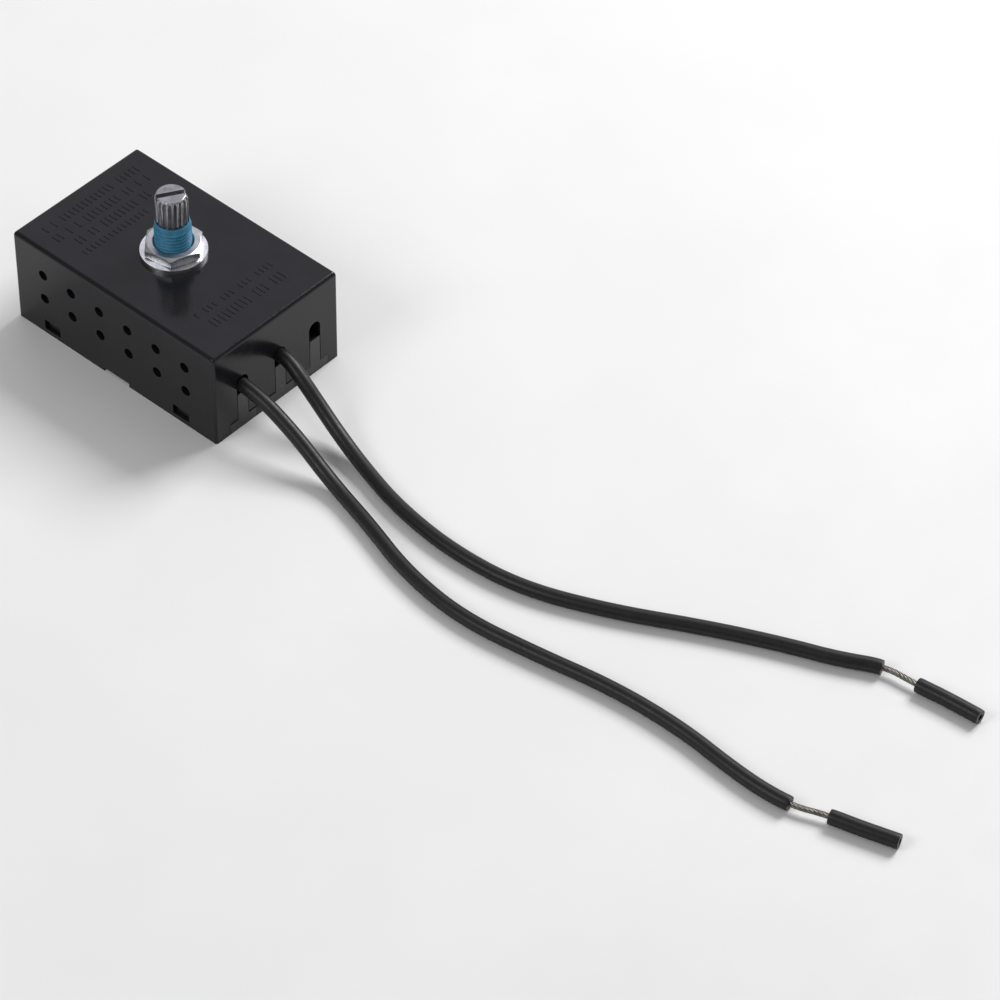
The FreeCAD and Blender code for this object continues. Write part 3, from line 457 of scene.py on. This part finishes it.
# ---------------------------------------------------------------- leads
LEAD_ROUTES = {
    "front": [
        (18.0, -8.9, 10.4), (28.0, -8.9, 10.5), (38.0, -8.9, 6.3), (48.3, -10.0, 1.4),
        (60.0, -13.1, 1.4), (72.6, -17.2, 1.4), (86.9, -18.9, 1.4), (101.8, -16.7, 1.4),
        (117.4, -13.6, 1.4), (131.8, -12.9, 1.4), (143.0, -13.95, 1.4), (150.4, -14.2, 1.4),
        (156.9, -13.5, 1.4), (161.6, -11.4, 1.4), (168.6, -9.6, 1.4), (175.5, -7.4, 1.4)],
    "rear": [
        (18.0, 0.8, 10.4), (22.7, 0.8, 10.45), (27.4, 0.75, 10.9), (31.6, 0.1, 8.9),
        (36.2, -0.3, 5.7), (41.4, -1.2, 3.1), (49.0, -3.1, 1.4), (60.8, -6.5, 1.4),
        (75.0, -8.1, 1.4), (90.0, -6.7, 1.4), (105.0, -0.5, 1.4), (120.0, 7.9, 1.4),
        (132.4, 13.85, 1.4), (141.2, 17.4, 1.4), (148.4, 21.5, 1.4), (154.4, 21.8, 1.4),
        (161.6, 22.8, 1.4), (168.5, 23.25, 1.4)],
}
LEAD_RADIUS = 1.375 * MM
CONDUCTOR_RADIUS = 0.55 * MM
STRAND_COUNT = 7
STRAND_LAY = 6 * MM             # length of one full twist
STRIPPED_END = 2.6 * MM
SLUG_LENGTH = 13.4 * MM
BARE_LENGTH = 7.2 * MM
STRANDS_IN_SLUG = 6.0 * MM
ROUTE_TAIL = 0.9 * MM           # the route's last bit, with nothing on it


def route_points(route, step=0.5 * MM):
    """Even points along the smooth NURBS line of a route, with their distances."""
    data = bpy.data.curves.new("route", "CURVE")
    data.dimensions = "3D"
    data.resolution_u = 40
    spline = data.splines.new("NURBS")
    spline.points.add(len(route) - 1)
    for point, place in zip(spline.points, route):
        point.co = (*[c * MM for c in place], 1.0)
    spline.order_u = 3
    spline.use_endpoint_u = True
    obj = bpy.data.objects.new("route", data)
    scene.collection.objects.link(obj)
    graph = bpy.context.evaluated_depsgraph_get()
    line = bpy.data.meshes.new_from_object(obj.evaluated_get(graph))
    raw = [v.co.copy() for v in line.vertices]
    bpy.data.objects.remove(obj)
    bpy.data.meshes.remove(line)
    distances = [0.0]
    for a, b in zip(raw, raw[1:]):
        distances.append(distances[-1] + (b - a).length)
    total = distances[-1]
    count = int(total / step)
    even = []
    i = 0
    for n in range(count + 1):
        wanted = total * n / count
        while i < len(raw) - 2 and distances[i + 1] < wanted:
            i += 1
        share = (wanted - distances[i]) / max(distances[i + 1] - distances[i], 1e-9)
        even.append(raw[i].lerp(raw[i + 1], min(share, 1.0)))
    return even, total


def frames_along(line):
    """A steady pair of side vectors at each point of a line."""
    pairs = []
    side = None
    for i, point in enumerate(line):
        ahead = line[min(i + 1, len(line) - 1)] - line[max(i - 1, 0)]
        ahead.normalize()
        if side is None:
            side = ahead.cross(Vector((0, 0, 1))).normalized()
        side = (side - ahead * side.dot(ahead)).normalized()
        pairs.append((side.copy(), ahead.cross(side).normalized(), ahead))
    return pairs


def stretch_of(line, total, low, high):
    """The points of a line between two distances along it."""
    last = len(line) - 1
    return line[round(low / total * last):round(high / total * last) + 1]


def tube_ring(point, pair, radius, count, wobble=0.0, seed=0.0):
    """One ring round a line's point, slightly uneven if a wobble is given."""
    side, up, _ = pair
    ring = []
    for j in range(count):
        angle = TURN * j / count
        r = radius + wobble * math.sin(3 * angle + seed) * 0.5
        ring.append(point + side * (r * math.cos(angle)) + up * (r * math.sin(angle)))
    return ring


def insulation_mesh(name, line, outer, inner, count=28):
    """A tube with a bore.  Both cut ends have a small round."""
    pairs = frames_along(line)
    rings = []
    for i, (point, pair) in enumerate(zip(line, pairs)):
        swell = 1.0 - 0.006 * (1 + math.sin(i * 0.11)) / 2
        if i == 0 or i == len(line) - 1:
            rings.append(tube_ring(point, pair, outer * 0.955, count))
        elif i == 1 or i == len(line) - 2:
            rings.append(tube_ring(point, pair, outer * 0.992, count))
        else:
            rings.append(tube_ring(point, pair, outer * swell, count, 0.008 * MM, i * 0.05))
    for i in range(len(line) - 1, -1, -6):
        rings.append(tube_ring(line[i], pairs[i], inner, count))
    if (len(line) - 1) % 6:
        rings.append(tube_ring(line[0], pairs[0], inner, count))
    return looped_mesh(name, rings)


def strand_mesh(name, line, strands, bundle_radius, lay, count=8):
    """Twisted strands round a middle one, all along a line."""
    pairs = frames_along(line)
    strand_radius = bundle_radius * 0.36
    step = (line[1] - line[0]).length
    shape = bmesh.new()
    for s in range(strands + 1):
        offset = bundle_radius - strand_radius if s < strands else 0.0
        start = TURN * s / strands + random.uniform(-0.1, 0.1)
        path = []
        for i, (point, (side, up, _)) in enumerate(zip(line, pairs)):
            angle = start + TURN * i * step / lay
            path.append(point + side * (offset * math.cos(angle))
                        + up * (offset * math.sin(angle)))
        rings = [tube_ring(p, q, strand_radius, count)
                 for p, q in zip(path, frames_along(path))]
        mesh = grid_mesh("strand", rings)
        shape.from_mesh(mesh)
        bpy.data.meshes.remove(mesh)
    joined = bpy.data.meshes.new(name)
    shape.to_mesh(joined)
    shape.free()
    return joined


def make_lead(tag):
    """One lead: insulation, twisted strands and the cut slug near its end."""
    line, total = route_points(LEAD_ROUTES[tag])
    skin_end = total - SLUG_LENGTH - BARE_LENGTH
    bore = CONDUCTOR_RADIUS + 0.03 * MM
    skin_line = stretch_of(line, total, STRIPPED_END, skin_end)
    skin = piece("insulation_" + tag,
                 insulation_mesh("insulation_" + tag, skin_line, LEAD_RADIUS, bore),
                 VINYL, "case", 60)
    slug_line = stretch_of(line, total, total - SLUG_LENGTH, total - ROUTE_TAIL)
    wire_line = stretch_of(line, total, 0.0, total - SLUG_LENGTH + STRANDS_IN_SLUG)
    slug = piece("slug_" + tag, insulation_mesh("slug_" + tag, slug_line, LEAD_RADIUS, bore),
                 VINYL, "case", 60)
    wire = piece("strands_" + tag,
                 strand_mesh("strands_" + tag, wire_line, STRAND_COUNT, CONDUCTOR_RADIUS,
                             STRAND_LAY),
                 TINNED, "case", 60)
    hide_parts("lead_insulation_" + tag)
    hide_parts("cut_slug_" + tag)
    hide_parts("lead_conductor_" + tag)


for tag in LEAD_ROUTES:
    make_lead(tag)


# ---------------------------------------------------------------- generic marks on the top
def raised_marks():
    """Rows of plain, even, low bars where the real case has moulded lettering."""
    shape = bmesh.new()
    top = cover_high.z
    height = 0.09 * MM
    width = 0.42 * MM
    rows = [
        (-21.2, -11.6, 12.4, 1.7), (-18.0, -12.0, 12.0, 1.9), (-14.7, -9.6, 9.0, 1.9),
        (-11.6, -11.0, 5.4, 1.3), (15.1, -9.4, 10.0, 1.4), (18.6, -8.8, 9.4, 2.2),
    ]
    for x, start, end, tall in rows:
        y = start
        while y < end:
            bar = block_mesh("bar", (x * MM, y * MM, top + height / 2 - 0.01 * MM),
                             (tall * MM, width, height), 0.0, 0.03 * MM, 2)
            shape.from_mesh(bar)
            bpy.data.meshes.remove(bar)
            y += 1.1 if random.random() < 0.82 else 2.2
    mesh = bpy.data.meshes.new("raised_marks")
    shape.to_mesh(mesh)
    shape.free()
    return mesh


piece("raised_marks", raised_marks(), BLACK_CASE, "case", 50)


# ---------------------------------------------------------------- floor, light and camera
def floor():
    look = Look("pale_floor")
    look.colours(look.noise(0.02, 3.0), [(0.3, (0.86, 0.86, 0.86)), (0.7, (0.9, 0.9, 0.9))])
    look.rough(look.noise(0.1, 3.0), 0.55, 0.7)
    look.bump(look.noise(0.5, 3.0), 0.01)
    shape = bmesh.new()
    bmesh.ops.create_grid(shape, x_segments=1, y_segments=1, size=6.0)
    mesh = bpy.data.meshes.new("floor")
    shape.to_mesh(mesh)
    shape.free()
    mesh.materials.append(look.material)
    obj = bpy.data.objects.new("floor", mesh)
    scene.collection.objects.link(obj)


def soft_light(name, place, target, size, power, colour=(1, 1, 1)):
    data = bpy.data.lights.new(name, "AREA")
    data.shape = "RECTANGLE"
    data.size, data.size_y = size
    data.energy = power
    data.color = colour
    obj = bpy.data.objects.new(name, data)
    scene.collection.objects.link(obj)
    obj.location = place
    aim = Vector(target) - Vector(place)
    obj.rotation_euler = aim.to_track_quat("-Z", "Y").to_euler()


def world_light(strength):
    world = bpy.data.worlds.new("studio")
    scene.world = world
    world.use_nodes = True
    background = world.node_tree.nodes["Background"]
    background.inputs["Color"].default_value = (1.0, 1.0, 1.0, 1.0)
    background.inputs["Strength"].default_value = strength


# The camera that a fit to the case's corners gives: angles in degrees, the rest in case lengths.
CASE_LENGTH = cover_high.x - cover_low.x
CAMERA_AZIMUTH = math.radians(41.181)
CAMERA_ELEVATION = math.radians(45.148)
CAMERA_ROLL = math.radians(0.92)
FOCAL_WIDTHS = 4.5          # focal length over the picture's width
CAMERA_SHIFT = (-1.1631, 0.5974, -16.2785)


def make_camera():
    a, e, r = CAMERA_AZIMUTH, CAMERA_ELEVATION, CAMERA_ROLL
    back = Vector((math.sin(a) * math.cos(e), -math.cos(a) * math.cos(e), math.sin(e)))
    flat = Vector((math.cos(a), math.sin(a), 0.0))
    rise = back.cross(flat)
    right = flat * math.cos(r) + rise * math.sin(r)
    up = rise * math.cos(r) - flat * math.sin(r)
    turn = Matrix((right, up, back)).transposed()
    place = -(turn @ (Vector(CAMERA_SHIFT) * CASE_LENGTH))
    data = bpy.data.cameras.new("camera")
    data.sensor_width = 36.0
    data.lens = FOCAL_WIDTHS * data.sensor_width
    data.clip_start = 0.01
    data.clip_end = 20.0
    obj = bpy.data.objects.new("camera", data)
    obj.matrix_world = Matrix.Translation(place) @ turn.to_4x4()
    scene.collection.objects.link(obj)
    scene.camera = obj


floor()
world_light(0.28)
soft_light("key", (0.1, 0.75, 0.68), (0.03, 0, 0), (0.45, 0.45), 8.3)
soft_light("back", (-0.33, 0.44, 0.57), (0, 0, 0.01), (0.62, 0.62), 0.62, (0.98, 0.95, 1.08))
soft_light("side", (-0.1, -0.62, 0.54), (0, 0, 0.02), (0.3, 0.3), 1.6)
make_camera()
scene.view_settings.view_transform = "Standard"
